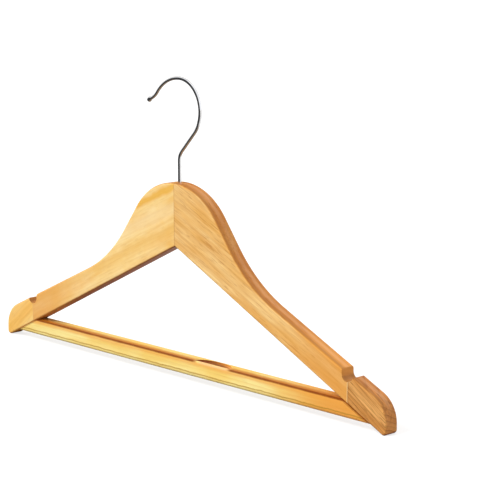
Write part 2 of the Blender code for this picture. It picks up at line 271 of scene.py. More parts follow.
def buildStripe():  # 1 on a plane and 0 away from it, with an uneven edge
    tree, given, result = newTree("stripe", {
        "Vector": "Vector", "Normal": "Vector", "Place": "Float", "Half Width": "Float",
        "Waver": "Float"}, ["Mask"])
    along = vectorOf(tree, "DOT_PRODUCT", given["Vector"], given["Normal"])
    drift = noise(tree, given["Vector"], stripeSizes["driftScale"], detail=3.0)
    drift = mathOf(tree, "SUBTRACT", drift, 0.5)
    away = mathOf(tree, "SUBTRACT", along, given["Place"])
    away = mathOf(tree, "ADD", away, times(tree, drift, given["Waver"]))
    share = mathOf(tree, "DIVIDE", mathOf(tree, "ABSOLUTE", away), given["Half Width"])
    mask = addNode(tree, "ShaderNodeMapRange", {0: share, 1: 1.0, 2: stripeSizes["fullWithin"]},
                   interpolation_type="SMOOTHSTEP")
    return connect(tree, result, {"Mask": mask.outputs[0]})


hollowEdges = {"wall": (-0.10, -0.04), "rim": (1.08, 1.02), "along": (-0.6, 0.7),
               "deep": (-0.55, -0.25)}  # shares of the hollow's half sizes


def buildHollow():  # 1 inside an ellipsoid behind its flat front wall, how far along, how deep
    edges = hollowEdges
    tree, given, result = newTree("hollow", {"Vector": "Vector", "Middle": "Vector", "Size": "Vector"},
                                  ["Mask", "Along", "Deep"])
    away = vectorOf(tree, "SUBTRACT", given["Vector"], given["Middle"])
    shares = vectorOf(tree, "DIVIDE", away, given["Size"])
    parts = axesOf(tree, shares)
    inside = ranged(tree, vectorOf(tree, "LENGTH", shares), *edges["rim"])
    return connect(tree, result, {
        "Mask": times(tree, ranged(tree, parts[1], *edges["wall"]), inside),
        "Along": ranged(tree, parts[0], *edges["along"]),
        "Deep": ranged(tree, parts[2], *edges["deep"], 1.0, 0.0)})


handlingSizes = {"patchEdge": (0.35, 0.7), "rubMarks": (60.0, 500.0, 900.0), "markEdge": (0.66, 0.72)}


def buildHandling():  # fine rub marks and dull patches left in the finish by use
    sizes = handlingSizes
    tree, given, result = newTree("handling", {"Vector": "Vector", "Patch Size": "Float"},
                                  ["Dullness", "Scratches"])
    place = given["Vector"]
    perMetre = mathOf(tree, "DIVIDE", 1.0, given["Patch Size"])
    marks = noise(tree, scaled(tree, place, sizes["rubMarks"]))
    patches = noise(tree, place, perMetre, detail=4.0, roughness=0.62)
    return connect(tree, result, {
        "Dullness": ranged(tree, patches, *sizes["patchEdge"]),
        "Scratches": ranged(tree, marks, *sizes["markEdge"])})


woodFigure = buildWoodFigure()
faces = buildFaces()
stripe = buildStripe()
hollow = buildHollow()
handling = buildHandling()


def startMaterial(name, settings):
    material = bpy.data.materials.new(name)
    material.use_nodes = True
    tree = material.node_tree
    shader = tree.nodes["Principled BSDF"]
    for label, value in settings.items():
        shader.inputs[label].default_value = value
    return material, tree, shader


def srgb(*channels):  # a colour as seen on screen, in the shader's linear values
    shares = [value / 255 for value in channels]
    return (*[c / 12.92 if c <= 0.04045 else ((c + 0.055) / 1.055) ** 2.4 for c in shares], 1.0)


def stripeMask(tree, spots, masks, line):
    spot = spots[line.get("side", "both")]
    mask = fromGroup(tree, stripe, {
        "Vector": spot, "Normal": line["normal"], "Place": line["place"],
        "Half Width": line["halfWidth"], "Waver": line.get("waver", 0.0)})
    shown = times(tree, mask[0], line["strength"])
    if "faces" in line:
        shown = times(tree, shown, masks[line["faces"]])
    fade = stripeSizes["fade"]
    for key, limits in (("apartFrom", (0.0, 1.0)), ("within", (1.0, 0.0))):  # outside or inside a reach of X
        if key in line:
            middle, reach = line[key]
            x = axesOf(tree, spot)[0]
            away = mathOf(tree, "ABSOLUTE", mathOf(tree, "SUBTRACT", x, middle))
            edge = ranged(tree, away, reach * (1 - fade), reach * (1 + fade), *limits)
            shown = times(tree, shown, edge)
    return shown


lacquerFinish = {"IOR": 1.45, "Specular IOR Level": 0.22, "Coat Roughness": 0.18, "Coat IOR": 1.4}
woodSurface = {"endGrain": (0.45, 0.85), "endGrainLeft": 0.1, "cloudEdge": (0.40, 0.62),
               "fibreEdge": (0.35, 0.65), "dullSpread": 0.10, "poreRoughness": 0.15,
               "reliefDepth": 0.00012}


def woodMaterial(name, look):
    material, tree, shader = startMaterial(name, lacquerFinish | {"Coat Weight": look["lacquer"]})
    spot = addNode(tree, "ShaderNodeTexCoord")
    place, normal = spot.outputs["Object"], spot.outputs["Normal"]
    grainTurn = [math.radians(angle) for angle in look["grainTurn"]]
    grain = addNode(tree, "ShaderNodeMapping", {
        "Vector": place, "Location": look["pith"], "Rotation": grainTurn}).outputs[0]
    figure = fromGroup(tree, woodFigure, {
        "Vector": grain, "Ring Spacing": look["ringSpacing"], "Ring Wander": look["ringWander"],
        "Pore Limit": look["poreLimit"]})
    masks = fromGroup(tree, faces, {"Normal": normal})
    worn = fromGroup(tree, handling, {"Vector": grain, "Patch Size": look["patchSize"]})
    facing = addNode(tree, "ShaderNodeMapping", {"Vector": normal, "Rotation": grainTurn},
                     vector_type="NORMAL")
    alongGrain = axesOf(tree, facing.outputs[0])[0]
    lengthwise = ranged(tree, mathOf(tree, "ABSOLUTE", alongGrain), *woodSurface["endGrain"],
                        1.0, woodSurface["endGrainLeft"])  # fibres and pores fade on end grain
    parts = axesOf(tree, place)
    bothSides = addNode(tree, "ShaderNodeCombineXYZ", {
        0: mathOf(tree, "ABSOLUTE", parts[0]), 1: parts[1], 2: parts[2]})
    spots = {"both": bothSides.outputs[0], "one": place}

    colour = mixColour(tree, ranged(tree, figure["Clouds"], *woodSurface["cloudEdge"]),
                       srgb(*look["pale"]), srgb(*look["warm"]))
    for mask, mark, tint in ((figure["Streaks"], "streak", "streak"), (figure["Bands"], "band", "band"),
                             (figure["Rings"], "ring", "late"), (worn["Dullness"], "patch", "patch")):
        shown = times(tree, mask, look[mark + "Strength"])
        colour = mixColour(tree, shown, colour, srgb(*look[tint]))
    fibres = ranged(tree, figure["Fibre"], *woodSurface["fibreEdge"], 0.0, look["fibreStrength"])
    dots = times(tree, figure["Pores"], look["poreStrength"])
    for mask, tint in ((fibres, "late"), (dots, "pore")):
        colour = mixColour(tree, times(tree, mask, lengthwise), colour, srgb(*look[tint]))
    # Painted shade: faces turned sideways, up and down are multiplied by darker tints for how light falls on
    # them; the side tint also stands in for the edge grain's deeper tone.
    for label, tint in (("Sides", "edge"), ("Over", "overShade"), ("Under", "underShade")):
        shown = times(tree, masks[label], look["facingShadeStrength"])
        colour = mixColour(tree, shown, colour, srgb(*look[tint]), "MULTIPLY")
    for line in look["lines"]:
        colour = mixColour(tree, stripeMask(tree, spots, masks, line), colour, srgb(*line["colour"]))
    # Painted shade in hollows, toned by how far along and how deep.
    for dent in look["hollowShades"]:
        cut = fromGroup(tree, hollow, {"Vector": place, "Middle": dent["middle"], "Size": dent["size"]})
        tone = mixColour(tree, cut["Along"], srgb(*dent["near"]), srgb(*dent["far"]))
        tone = mixColour(tree, cut["Deep"], tone, srgb(*dent["bottom"]))
        shown = times(tree, cut["Mask"], dent["strength"])
        colour = mixColour(tree, shown, colour, tone)

    dull = ranged(tree, worn["Dullness"], 0.0, 1.0, look["gloss"], look["gloss"] + woodSurface["dullSpread"])
    pitted = times(tree, figure["Pores"], woodSurface["poreRoughness"])
    height = times(tree, figure["Height"], lengthwise)
    bump = addNode(tree, "ShaderNodeBump", {"Strength": look["relief"], "Height": height,
                                            "Distance": woodSurface["reliefDepth"]})
    connect(tree, shader.inputs, {"Base Color": colour, "Normal": bump.outputs[0],
                                  "Roughness": mathOf(tree, "ADD", dull, pitted)})
    return material


glueSurface = {"beadScale": 900.0, "beadEdge": (0.3, 0.7), "roughness": (0.3, 0.55)}


def glueMaterial(name, light, dark):
    material, tree, shader = startMaterial(name, {"IOR": 1.45})
    place = addNode(tree, "ShaderNodeTexCoord").outputs["Object"]
    beads = noise(tree, place, glueSurface["beadScale"])
    connect(tree, shader.inputs, {
        "Base Color": mixColour(tree, beads, srgb(*light), srgb(*dark)),
        "Roughness": ranged(tree, beads, *glueSurface["beadEdge"], *glueSurface["roughness"])})
    return material


def metalMaterial(name, look):
    material, tree, shader = startMaterial(name, {"Metallic": 1.0, "IOR": 2.6})
    place = addNode(tree, "ShaderNodeTexCoord").outputs["Object"]
    worn = fromGroup(tree, handling, {"Vector": place, "Patch Size": look["patchSize"]})
    colour = mixColour(tree, worn["Dullness"], srgb(*look["bright"]), srgb(*look["dull"]))
    rough = ranged(tree, worn["Dullness"], 0.0, 1.0, look["gloss"], look["gloss"] + look["spread"])
    marks = times(tree, worn["Scratches"], look["scratches"])
    grit = noise(tree, place, look["gritScale"], detail=3.0)
    bump = addNode(tree, "ShaderNodeBump", {"Strength": look["relief"], "Distance": look["gritDepth"],
                                            "Height": grit})
    connect(tree, shader.inputs, {"Base Color": colour, "Normal": bump.outputs[0],
                                  "Roughness": mathOf(tree, "ADD", rough, marks)})
    return material


chromeLook = {"bright": (216, 217, 220), "dull": (196, 197, 201), "patchSize": 0.006, "gloss": 0.07,
              "spread": 0.08, "scratches": 0.12, "gritScale": 2500.0, "gritDepth": 0.00005, "relief": 0.05}
zincLook = {"bright": (190, 190, 186), "dull": (150, 151, 148), "patchSize": 0.002, "gloss": 0.32,
            "spread": 0.18, "scratches": 0.1, "gritScale": 4000.0, "gritDepth": 0.00005, "relief": 0.25}
chrome = metalMaterial("chromePlate", chromeLook)
zinc = metalMaterial("zincPlate", zincLook)
paleGlue = glueMaterial("tipGlue", (250, 226, 170), (206, 150, 84))
brownGlue = glueMaterial("seamGlue", (218, 156, 86), (186, 120, 54))


# The wooden frame: one outline for each half, cut into arm, tip and glue lines

frameSizes = {
    "headRadius": 0.0573, "neckAngle": 52.8, "neckRun": 0.0265, "neckFillet": 0.1255, "shoulderAngle": 24.5,
    "headHeight": 0.0496, "undersideAngle": 25.75, "tipRadius": 0.022, "tipCorner": 0.003,
    "edgeRound": 0.0015, "roundSteps": 5, "roundAngle": 60, "notchInset": 0.0373, "notchWidth": 0.0112,
    "notchDepth": 0.0065, "rimRound": 0.0003, "rimSteps": 2, "glueWidth": 0.00022, "glueGap": 0.00003,
    "barGlueGap": 0.00006, "pastSeam": 0.006, "margin": 0.010,
    "tipStep": 3, "cornerStep": 8, "notchStep": 6,  # degrees from point to point along an arc
}
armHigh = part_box("right_arm")[1]
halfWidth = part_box("right_tip")[1].x
halfDepth = armHigh.y
headTop = armHigh.z
apexZ = headTop - frameSizes["headHeight"]
undersideTurn = math.radians(frameSizes["undersideAngle"])
undersideSlope = math.tan(undersideTurn)
shoulderTurn = math.radians(frameSizes["shoulderAngle"])
neckTurn = math.radians(frameSizes["neckAngle"])
glueX = halfWidth - frameSizes["notchInset"]


def neckCorner():  # where the neck's straight would meet the shoulder's
    radius = frameSizes["headRadius"]
    start = Vector((radius * math.sin(neckTurn), headTop - radius * (1 - math.cos(neckTurn))))
    along = Vector((math.cos(neckTurn), -math.sin(neckTurn)))
    filletStart = start + along * frameSizes["neckRun"]
    reach = frameSizes["neckFillet"] * math.tan((neckTurn - shoulderTurn) / 2)
    return filletStart, filletStart + along * reach


def shoulderZ(x):
    corner = neckCorner()[1]
    return corner.y - (x - corner.x) * math.tan(shoulderTurn)


tipCornerZ = apexZ - halfWidth * undersideSlope
notchLow = shoulderZ(glueX) - frameSizes["notchDepth"]


# Wood looks. Colours are as seen on screen. The pith is the shift that puts the tree's middle on the
# grain's own X axis, after its turn. A stripe's place is measured along its normal, from the origin.
barLow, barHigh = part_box("trouser_bar")
undersideNormal = (math.sin(undersideTurn), 0.0, math.cos(undersideTurn))
undersidePlace = apexZ * math.cos(undersideTurn)
barCorner = math.sqrt(0.5) * (barHigh.z - barLow.y)
barCornerNormal = (0, -math.sqrt(0.5), math.sqrt(0.5))
scoopSizes = {"place": 0.041, "halfLength": 0.019, "width": 0.0078, "depth": 0.0035, "lip": 0.0021,
              "sides": 96, "rim": 0.00025, "rimSteps": 2, "rimAngle": 40}
scoopMiddle = (scoopSizes["place"], scoopSizes["lip"] - halfDepth, barHigh.z)
scoopHalves = (scoopSizes["halfLength"], scoopSizes["width"], scoopSizes["depth"])
scoopReach = (scoopSizes["place"], scoopSizes["halfLength"])
seamLine = {"normal": (1, 0, 0), "place": 0.0, "halfWidth": 0.0006, "waver": 0.0006, "strength": 0.2,
            "colour": (156, 90, 30)}
# The pale glue line at the tip joint is partly glue, partly a painted highlight on the joint's lit edge.
glueLineAndHighlight = {"normal": (1, 0, 0), "place": glueX, "halfWidth": 0.0006, "waver": 0.0008, "strength": 0.6,
            "colour": (252, 216, 152)}
leftGlueLine = glueLineAndHighlight | {"strength": 0.45, "halfWidth": 0.0004, "colour": (222, 152, 70)}
notchShade = {"normal": (0, 0, 1), "place": notchLow + 0.0012, "halfWidth": 0.0050, "waver": 0.002,
              "faces": "Sides", "strength": 0.65, "colour": (154, 102, 44), "within": (glueX, 0.0056)}
glueShadow = {"normal": (1, 0, 0), "place": glueX + 0.0010, "halfWidth": 0.0006, "waver": 0.0008,
              "strength": 0.5, "colour": (160, 100, 48)}
topShade = {"normal": (0, 1, 0), "place": -0.0044, "halfWidth": 0.0024, "waver": 0.001, "faces": "Over",
            "strength": 0.5, "colour": (150, 98, 36)}
topGlow = {"normal": (0, 1, 0), "place": 0.0005, "halfWidth": 0.0026, "waver": 0.002, "faces": "Over",
           "strength": 0.3, "colour": (226, 176, 124)}
shades = [topShade, topGlow, notchShade]
armEnd = {"normal": (1, 0, 0), "place": glueX + 0.01, "halfWidth": 0.085, "strength": 0.6,
          "colour": (228, 154, 66)}
goldStreak = {"normal": (-math.sin(shoulderTurn), 0, math.cos(shoulderTurn)), "place": -0.0737,
              "halfWidth": 0.0042, "waver": 0.006, "faces": "Front", "side": "one", "strength": 0.75,
              "colour": (238, 180, 68)}
paleStreak = goldStreak | {"place": -0.0885, "halfWidth": 0.0085, "strength": 0.35,
                           "colour": (255, 234, 186)}
amberStreak = goldStreak | {"place": -0.1040, "halfWidth": 0.0060, "strength": 0.45,
                            "colour": (238, 184, 92)}
barLines = [
    # painted shadow of the left arm across the bar's top at its left end
    {"normal": (1, 0, 0), "place": -0.190, "halfWidth": 0.055, "faces": "Over", "side": "one",
     "strength": 0.45, "colour": (132, 66, 12)},
    {"normal": (1, 0, 0), "place": 0.205, "halfWidth": 0.12, "strength": 0.85, "side": "one",
     "colour": (232, 150, 52)},
    # painted shade: darker orange along the top of the front face
    {"normal": (0, 0, 1), "place": barHigh.z - 0.0012, "halfWidth": 0.0040, "waver": 0.001,
     "faces": "Front", "strength": 0.65, "colour": (242, 168, 74)},
    {"normal": (0, 0, 1), "place": barLow.z + 0.0036, "halfWidth": 0.00075, "waver": 0.0018,
     "faces": "Front", "strength": 0.75, "colour": (172, 128, 44)},
    # painted shade: the top darkens toward its front edge, apart from the scoop
    {"normal": (0, 1, 0), "place": -0.0060, "halfWidth": 0.0080, "waver": 0.002, "faces": "Over",
     "side": "one", "strength": 0.9, "colour": (190, 108, 18), "apartFrom": scoopReach},
    # painted shade: a dark line along the front-top corner, apart from the scoop
    {"normal": barCornerNormal, "place": barCorner - 0.0005, "halfWidth": 0.0008, "side": "one",
     "waver": 0.0003, "strength": 0.97, "colour": (124, 58, 0), "apartFrom": scoopReach},
    # painted highlight on the lip in front of the scoop
    {"normal": barCornerNormal, "place": barCorner - 0.0002, "halfWidth": 0.0014,
     "side": "one", "strength": 0.85, "colour": (240, 184, 132), "within": (0.043, 0.016)},
    {"normal": undersideNormal, "place": undersidePlace - 0.0005, "halfWidth": 0.0009, "waver": 0.0010,
     "strength": 0.45, "colour": (128, 58, 22)},
]
# Painted shade in the scoop: darkest at its near end and its bottom, lighter toward its far end.
scoopShade = {"middle": scoopMiddle, "size": scoopHalves, "near": (118, 44, 12), "far": (222, 140, 54),
           "bottom": (112, 60, 8), "strength": 0.97}
honeyWood = {
    "pale": (255, 226, 158), "warm": (248, 196, 110), "streak": (240, 184, 84), "band": (250, 206, 122),
    "late": (214, 150, 66), "pore": (170, 112, 48),
    # painted shade tints multiplied onto sides, tops and undersides (the side tint partly the edge grain's
    # deeper tone)
    "edge": (232, 200, 156), "overShade": (220, 198, 164), "underShade": (176, 112, 64),
    "streakStrength": 0.6, "bandStrength": 0.30, "ringStrength": 0.26, "fibreStrength": 0.18,
    "poreStrength": 0.10, "facingShadeStrength": 0.9, "ringSpacing": 0.0042, "ringWander": 0.009,
    "patch": (255, 238, 196), "patchSize": 0.03, "patchStrength": 0.0, "poreLimit": 0.62, "gloss": 0.38,
    "lacquer": 0.15, "relief": 0.3, "grainTurn": (0, 0, 0),
    "lines": [armEnd, seamLine, *shades, glueLineAndHighlight], "hollowShades": [],
}
shoulderAngle = frameSizes["shoulderAngle"]
woodLooks = {
    "leftArm": honeyWood | {"grainTurn": (0, shoulderAngle, 3.5), "pith": (0.02, 0.022, 0.158),
                            "ringWander": 0.012, "ringSpacing": 0.0052, "patchStrength": 0.3,
                            "pale": (254, 220, 148),
                            "lines": [goldStreak, paleStreak, amberStreak, armEnd, seamLine, *shades,
                                      leftGlueLine]},
    "rightArm": honeyWood | {"pale": (252, 214, 146), "warm": (238, 182, 102), "streak": (232, 170, 82),
                             "band": (244, 196, 114), "late": (200, 130, 52), "pore": (172, 92, 28),
                             "grainTurn": (0, -shoulderAngle, 1.0), "pith": (0.04, 0.030, 0.210),
                             "ringSpacing": 0.0036, "fibreStrength": 0.36, "poreStrength": 0.34,
                             "poreLimit": 0.60},
    "leftTip": honeyWood | {"pale": (255, 216, 136), "warm": (250, 194, 104),
                            # a pale underside tint: lighter painted shade under the tip
                            "underShade": (252, 232, 204), "lines": [*shades, leftGlueLine],
                            "grainTurn": (0, 38.0, 2.0), "pith": (0.10, 0.030, 0.190)},
    "rightTip": honeyWood | {"pale": (244, 184, 108), "warm": (224, 156, 78), "streak": (204, 132, 52),
                             "band": (226, 160, 82), "late": (140, 78, 24), "pore": (116, 62, 18),
                             "grainTurn": (0, -33.0, 2.0), "pith": (0.05, 0.030, 0.290),
                             "ringSpacing": 0.0028, "ringStrength": 0.80, "fibreStrength": 0.5,
                             # pale side and top tints: lighter painted shade on the tip's edges
                             "poreStrength": 0.5, "edge": (234, 212, 184), "overShade": (238, 228, 212),
                             "lines": [*shades, glueLineAndHighlight, glueShadow]},
    "bar": honeyWood | {"pale": (255, 238, 160), "warm": (250, 212, 112), "streak": (244, 192, 80),
                        "band": (255, 230, 146), "late": (216, 158, 60), "grainTurn": (0, 0, 0.6),
                        "pith": (0.0, 0.018, 0.262), "ringSpacing": 0.0030, "facingShadeStrength": 0.15,
                        "lacquer": 0.08, "lines": barLines, "hollowShades": [scoopShade]},
    "dowel": honeyWood | {"pale": (232, 206, 164), "warm": (222, 190, 144), "streak": (216, 184, 136),
                          "band": (226, 198, 154), "late": (188, 150, 104), "lacquer": 0.0,
                          "gloss": 0.6, "lines": [], "pith": (0.0, 0.03, 0.12), "facingShadeStrength": 0.0},
}
woods = {name: woodMaterial(name + "Wood", look) for name, look in woodLooks.items()}
print("wood materials:", ", ".join(woods))


def halfOutline():  # the right half in X and Z, clockwise, a little past the seam
    sizes = frameSizes
    past = sizes["pastSeam"]
    head = Vector((0, headTop - sizes["headRadius"]))
    points = arcPoints(head, sizes["headRadius"], quarterTurn + past / sizes["headRadius"],
                       quarterTurn - neckTurn)
    filletStart = neckCorner()[0]
    neckCentre = filletStart + sizes["neckFillet"] * Vector((math.sin(neckTurn), math.cos(neckTurn)))
    points += arcPoints(neckCentre, sizes["neckFillet"], -quarterTurn - neckTurn,
                        -quarterTurn - shoulderTurn)
    tipStartX = halfWidth - sizes["tipRadius"] * (1 - math.sin(shoulderTurn))
    tipCentre = Vector((halfWidth - sizes["tipRadius"],
                        shoulderZ(tipStartX) - sizes["tipRadius"] * math.cos(shoulderTurn)))
    points += arcPoints(tipCentre, sizes["tipRadius"], quarterTurn - shoulderTurn, 0, sizes["tipStep"])
    inset = sizes["tipCorner"]
    cornerCentre = Vector((halfWidth - inset,
                           tipCornerZ + inset * (undersideSlope + 1 / math.cos(undersideTurn))))
    points += arcPoints(cornerCentre, inset, 0, -quarterTurn - undersideTurn, sizes["cornerStep"])
    points.append(Vector((-past, apexZ + past * undersideSlope)))
    return points


def notchOutline():
    radius = frameSizes["notchWidth"] / 2
    centre = Vector((glueX, shoulderZ(glueX) - frameSizes["notchDepth"] + radius))
    rim = shoulderZ(glueX - radius) + frameSizes["margin"]
    walls = [Vector((glueX - radius, rim)), Vector((glueX + radius, rim))]
    return walls[:1] + arcPoints(centre, radius, -math.pi, 0, frameSizes["notchStep"]) + walls[1:]


def makeHalf(name):
    sizes = frameSizes
    half = plate(name, halfOutline(), -halfDepth, halfDepth)
    roundEdges(half, "Rounded edges", sizes["edgeRound"], sizes["roundSteps"], sizes["roundAngle"], False)
    reach = halfDepth + sizes["margin"]
    notch = plate("notchCutter", notchOutline(), -reach, reach)
    combine(half, [notch])
    roundEdges(half, "Eased notch rim", sizes["rimRound"], sizes["rimSteps"], sizes["roundAngle"])
    baked = bakeObject(half, name)
    discard(notch)
    return baked


boreSizes = {"boreRadius": 0.0017, "counterboreRadius": 0.0041, "counterboreDepth": 0.011}


def slab(name, lowX, highX):
    margin = frameSizes["margin"]
    return box(name, (lowX, -halfDepth - margin, tipCornerZ - margin),
               (highX, halfDepth + margin, headTop + margin))


def cutPiece(name, half, lowX, highX, holes=()):
    piece = newObject(name, half.data.copy())
    keep = slab("keep", lowX, highX)
    combine(piece, [keep], "INTERSECT")
    combine(piece, holes)
    baked = bakeObject(piece, name)
    discard(keep)
    return baked


def mirrored(obj, name):
    mesh = obj.data.copy()
    mesh.transform(Matrix.Diagonal((-1, 1, 1, 1)))
    mesh.flip_normals()
    return newObject(name, mesh)


def makeFrame():
    margin = frameSizes["margin"]
    film = frameSizes["glueWidth"] / 2
    start = film + frameSizes["glueGap"]
    far = halfWidth + margin
    bore = post("bore", boreSizes["boreRadius"], apexZ - margin, headTop + margin)
    counterbore = post("counterbore", boreSizes["counterboreRadius"], apexZ - margin,
                       apexZ + boreSizes["counterboreDepth"])
    holes = [bore, counterbore]
    half = makeHalf("half")
    pieces = {
        "Arm": cutPiece("rightArm", half, start, glueX - start, holes),
        "Tip": cutPiece("rightTip", half, glueX + start, far),
        "TipGlue": cutPiece("rightTipGlue", half, glueX - film, glueX + film),
    }
    seam = cutPiece("mitreGlue", half, -film, film, holes)
    discard(half, *holes)
    for part, right in pieces.items():
        left = mirrored(right, "left" + part)
        for side, piece in (("left", left), ("right", right)):
            smoothen(piece)
            if part == "TipGlue":
                dress(piece, paleGlue, woodBody, "tip_wood")
            else:
                dress(piece, woods[side + part], woodBody, part.lower() + "_wood",
                      side + "_" + part.lower())
    smoothen(seam)
    dress(seam, brownGlue, woodBody, "arm_wood")
    print("frame halves:", len(pieces) * 2 + 1, "pieces")


makeFrame()


# The trouser bar: a section swept between the arms, with a scoop in its top

def geometryTree(name, inputs):
    return newTree(name, inputs, ["Mesh"], "GeometryNodeTree", "Geometry")


def endTree(tree, geometry, finish, result):
    real = addNode(tree, "GeometryNodeRealizeInstances", {"Geometry": geometry})
    finished = addNode(tree, "GeometryNodeSetMaterial", {"Geometry": real.outputs[0], "Material": finish})
    tree.links.new(finished.outputs[0], result[0])
    return tree


def setOption(node, label, choice):  # a choice that is a property in some builds and a socket in others
    prop = label.lower()
    if hasattr(node, prop):
        setattr(node, prop, choice.upper())
    else:
        node.inputs[label].default_value = choice


def runTree(obj, tree, values, name):
    modifier = obj.modifiers.new(tree.name, "NODES")
    modifier.node_group = tree
    for item in tree.interface.items_tree:
        if item.item_type == "SOCKET" and item.in_out == "INPUT" and item.name in values:
            modifier[item.identifier] = values[item.name]
    return bakeObject(obj, name)


barSizes = {
    "Depth": barHigh.y - barLow.y, "Height": barHigh.z - barLow.z, "Middle": (barHigh.z + barLow.z) / 2,
    "Top Round": 0.0018, "Bottom Round": 0.0030, "Round Steps": 8, "Slope": undersideSlope,
    "Apex": apexZ - frameSizes["barGlueGap"] / math.cos(undersideTurn),
}


def buildBarTree():
    tree, given, result = geometryTree("trouserBar", {
        "Geometry": "Geometry", "Depth": "Float", "Height": "Float", "Middle": "Float",
        "Top Round": "Float", "Bottom Round": "Float", "Round Steps": "Int", "Apex": "Float",
        "Slope": "Float", "Finish": "Material"})
    section = addNode(tree, "GeometryNodeCurvePrimitiveQuadrilateral",
                      {"Width": given["Depth"], "Height": given["Height"]})
    place = axesOf(tree, addNode(tree, "GeometryNodeInputPosition").outputs[0])
    isTop = addNode(tree, "FunctionNodeCompare", {0: place[1], 1: 0.0}, data_type="FLOAT",
                    operation="LESS_THAN")
    radius = addNode(tree, "GeometryNodeSwitch", {
        "Switch": isTop.outputs[0], "False": given["Bottom Round"], "True": given["Top Round"]},
                     input_type="FLOAT")
    rounded = addNode(tree, "GeometryNodeFilletCurve", {"Curve": section.outputs[0],
                                                        "Radius": radius.outputs[0]})
    setOption(rounded, "Mode", "Poly")
    tree.links.new(given["Round Steps"], rounded.inputs["Count"])
    line = addNode(tree, "GeometryNodeCurvePrimitiveLine", {"Start": (-1, 0, 0), "End": (1, 0, 0)})
    swept = addNode(tree, "GeometryNodeCurveToMesh", {
        "Curve": line.outputs[0], "Profile Curve": rounded.outputs[0], "Fill Caps": True})
    z = mathOf(tree, "ADD", place[2], given["Middle"])
    reach = mathOf(tree, "DIVIDE", mathOf(tree, "SUBTRACT", given["Apex"], z), given["Slope"])
    x = times(tree, place[0], reach)
    spot = addNode(tree, "ShaderNodeCombineXYZ", {0: x, 1: place[1], 2: z})
    fitted = addNode(tree, "GeometryNodeSetPosition", {"Geometry": swept.outputs[0],
                                                       "Position": spot.outputs[0]})
    return endTree(tree, fitted.outputs[0], given["Finish"], result)


def scoopCutter():  # the back half of an ellipsoid, behind the lip
    sides = scoopSizes["sides"]
    shape = bmesh.new()
    bmesh.ops.create_uvsphere(shape, u_segments=sides, v_segments=sides // 2, radius=1)
    everything = shape.verts[:] + shape.edges[:] + shape.faces[:]
    cut = bmesh.ops.bisect_plane(shape, geom=everything, plane_co=(0, 0, 0), plane_no=(0, -1, 0),
                                 clear_outer=True)["geom_cut"]
    bmesh.ops.contextual_create(shape, geom=[item for item in cut if isinstance(item, bmesh.types.BMEdge)])
    shape.transform(Matrix.Translation(scoopMiddle) @ Matrix.Diagonal((*scoopHalves, 1)))
    return meshFrom("scoopCutter", shape)


def makeBar():
    base = newObject("barBase", bpy.data.meshes.new("barBase"))
    bar = runTree(base, buildBarTree(), barSizes | {"Finish": woods["bar"]}, "trouserBar")
    cutter = scoopCutter()
    combine(bar, [cutter])
    roundEdges(bar, "Eased scoop rim", scoopSizes["rim"], scoopSizes["rimSteps"], scoopSizes["rimAngle"])
    bar = bakeObject(bar, "trouserBar")
    discard(cutter)
    smoothen(bar)
    dress(bar, woods["bar"], woodBody, "bar_wood", "trouser_bar")
    print("trouser bar:", len(bar.data.polygons), "faces")


makeBar()


def finishDowels(*names):  # they keep their own meshes
    for name in names:
        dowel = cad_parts[name]
        dowel.data.materials.clear()
        dowel.data.materials.append(woods["dowel"])
    print("dowels:", len(names))


finishDowels("upper_mitre_dowel", "lower_mitre_dowel", "left_tip_dowel", "right_tip_dowel",
             "left_bar_dowel", "right_bar_dowel")


# The hook: wire swept along its path, a ball on its end, thread, washer and nut below

wireLow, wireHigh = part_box("hook_wire")
hookSizes = {
    "loopRadius": 0.0241, "crownRadius": 0.0325, "crownSweep": 50, "slantAngle": 46,
    "shankBend": 0.012, "flickRadius": 0.016, "flickSweep": 25, "flickLead": 0.0015,
    "flickTail": 0.0030, "wireSides": 24, "stepDegrees": 2.5, "sharpAngle": 50, "threadPitch": 0.0005,
    "threadLength": 0.0062, "threadHeight": 0.00022, "threadBite": 0.2, "threadSides": 6,
    "threadSteps": 20, "threadSharpAngle": 60,
}
wireDiameter = wireHigh.y - wireLow.y


class WireWalk:  # a wire bent in the XZ plane, one run or bend at a time
    def __init__(self, start, heading):
        self.points = [Vector(start)]
        self.heading = heading

    def run(self, length):
        step = Vector((math.cos(self.heading), math.sin(self.heading))) * length
        self.points.append(self.points[-1] + step)

    def bend(self, radius, turn):
        side = math.copysign(1, turn)
        toCentre = Vector((-math.sin(self.heading), math.cos(self.heading))) * radius * side
        centre = self.points[-1] + toCentre
        start = math.atan2(-toCentre.y, -toCentre.x)
        self.points += arcPoints(centre, radius, start, start + turn, hookSizes["stepDegrees"])[1:]
        self.heading += turn


def walkHook():
    sizes = hookSizes
    slant = math.radians(sizes["slantAngle"])
    lean = quarterTurn - slant
    loop = sizes["loopRadius"]
    loopZ = wireDiameter / 2 - loop
    joinsX = loop * math.cos(lean)
    joinsZ = loopZ - loop * math.sin(lean)
    slantLength = (joinsX - sizes["shankBend"] * (1 - math.cos(lean))) / math.cos(slant)
    shankTop = joinsZ - slantLength * math.sin(slant) - sizes["shankBend"] * math.sin(lean)
    walk = WireWalk((0, wireLow.z), quarterTurn)
    walk.run(shankTop - wireLow.z)
    walk.bend(sizes["shankBend"], -lean)
    walk.run(slantLength)
    walk.bend(loop, math.pi - slant)
    walk.bend(sizes["crownRadius"], math.radians(sizes["crownSweep"]))
    walk.run(sizes["flickLead"])
    walk.bend(sizes["flickRadius"], -math.radians(sizes["flickSweep"]))
    walk.run(sizes["flickTail"])
    return walk


def pathObject(name, points):
    curve = bpy.data.curves.new(name, "CURVE")
    curve.dimensions = "3D"
    spline = curve.splines.new("POLY")
    spline.points.add(len(points) - 1)
    for spot, point in zip(spline.points, points):
        spot.co = (*point, 1)
    return newObject(name, curve)


